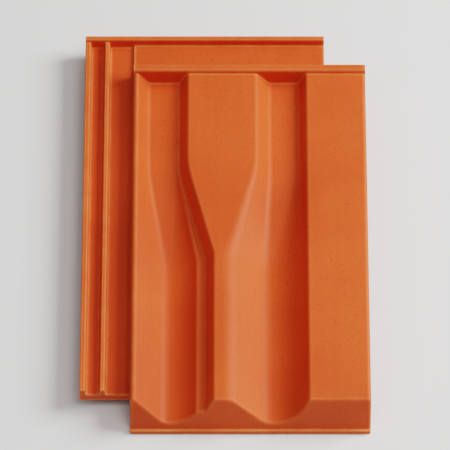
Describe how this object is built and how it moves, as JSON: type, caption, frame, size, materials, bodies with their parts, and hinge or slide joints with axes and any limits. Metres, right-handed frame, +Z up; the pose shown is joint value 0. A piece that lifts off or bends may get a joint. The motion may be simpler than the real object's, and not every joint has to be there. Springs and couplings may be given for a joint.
{
  "type": "interlocking clay roof tile",
  "caption": "Pressed clay roof tile with two pans, a tapering crown between them, a flat cover band, side and head locks, and nibs for a batten.",
  "frame": {"origin": "centre of the tile's footprint, at its lowest level, where the nose and the nibs rest", "axes": "+Z up from the bed, +Y up the slope from the nose to the head, +X across the slope towards the cover band"},
  "size_m": [0.269, 0.442, 0.042],
  "materials": {
    "fired_clay": "satin fired clay with a thin natural red slip"
  },
  "bodies": {
    "root": {"roof_tile": "fired_clay"}
  },
  "joints": []
}
